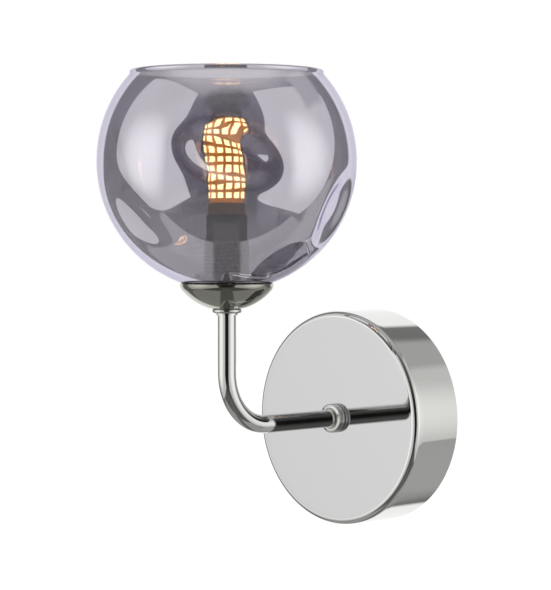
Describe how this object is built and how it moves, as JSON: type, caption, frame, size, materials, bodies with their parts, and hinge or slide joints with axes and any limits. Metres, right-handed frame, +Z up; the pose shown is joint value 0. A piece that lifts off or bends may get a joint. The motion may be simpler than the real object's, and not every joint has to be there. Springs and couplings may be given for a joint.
{
  "type": "globe wall sconce",
  "caption": "Wall light with a round chrome wall plate, a bent tube arm, a small cup and an open-topped dented smoked glass globe round a pin lamp.",
  "frame": {"origin": "centre of the wall plate on the wall, where the arm's axis meets the wall", "axes": "+Y into the wall, -Y out into the room, +Z up, +X to the right for someone facing the wall"},
  "size_m": [0.1386, 0.1893, 0.2504],
  "materials": {
    "chrome": "polished plating",
    "zinc_steel": "zinc plated",
    "white_nylon": "moulded",
    "brass": "turned",
    "holder_metal": "dark grey, threaded",
    "holder_ceramic": "unglazed",
    "brown_insulation": "smooth silicone",
    "blue_insulation": "smooth silicone",
    "clear_silicone": "translucent",
    "smoked_glass": "smoke, half mirrored",
    "lamp_plastic": "translucent",
    "lamp_board": "white board in warm light",
    "led_light": "lit, warm white",
    "lamp_clear": "clear",
    "pin_steel": "bright wire"
  },
  "bodies": {
    "fixture": {"wall_plate": "chrome", "wall_bracket": "zinc_steel", "side_grub_screws": "chrome", "terminal_block": "white_nylon", "terminal_clamp_screws": "brass", "terminal_fixing_screw": "zinc_steel", "earth_screw": "brass", "earth_washer": "brass", "arm_tube": "chrome", "plate_collar": "chrome", "lock_washer": "zinc_steel", "arm_nut": "zinc_steel", "cup_collar": "chrome", "cup": "chrome", "holder_sleeve": "holder_metal", "holder_nut": "zinc_steel", "holder_ceramic": "holder_ceramic", "holder_contacts": "brass", "live_wire": "brown_insulation", "neutral_wire": "blue_insulation", "lower_washer": "clear_silicone"},
    "globe": {"glass_shade": "smoked_glass"},
    "clamp_washer": {"upper_washer": "clear_silicone"},
    "clamp_ring": {"shade_ring": "holder_metal"},
    "lamp": {"lamp_base": "lamp_plastic", "lamp_core": "lamp_board", "lamp_leds": "led_light", "lamp_cover": "lamp_clear", "lamp_pins": "pin_steel"}
  },
  "joints": [
    {"name": "lamp_pull", "type": "slide", "parent": "fixture", "child": "lamp", "axis": [0, 0, 1], "range_m": [0, 0.098]},
    {"name": "shade_lift", "type": "slide", "parent": "fixture", "child": "globe", "axis": [0, 0, 1], "range_m": [0, 0.094]},
    {"name": "ring_rise", "type": "slide", "parent": "globe", "child": "clamp_washer", "axis": [0, 0, 1], "range_m": [0, 0.0201]},
    {"name": "ring_turn", "type": "hinge", "parent": "clamp_washer", "child": "clamp_ring", "pos_m": [0, -0.12, 0.08], "axis": [0, 0, 1], "range_deg": [0, 3600]}
  ],
  "couplings": [
    {"joint": "ring_rise", "follows": "ring_turn", "m_per_rad": 0.00031831}
  ]
}
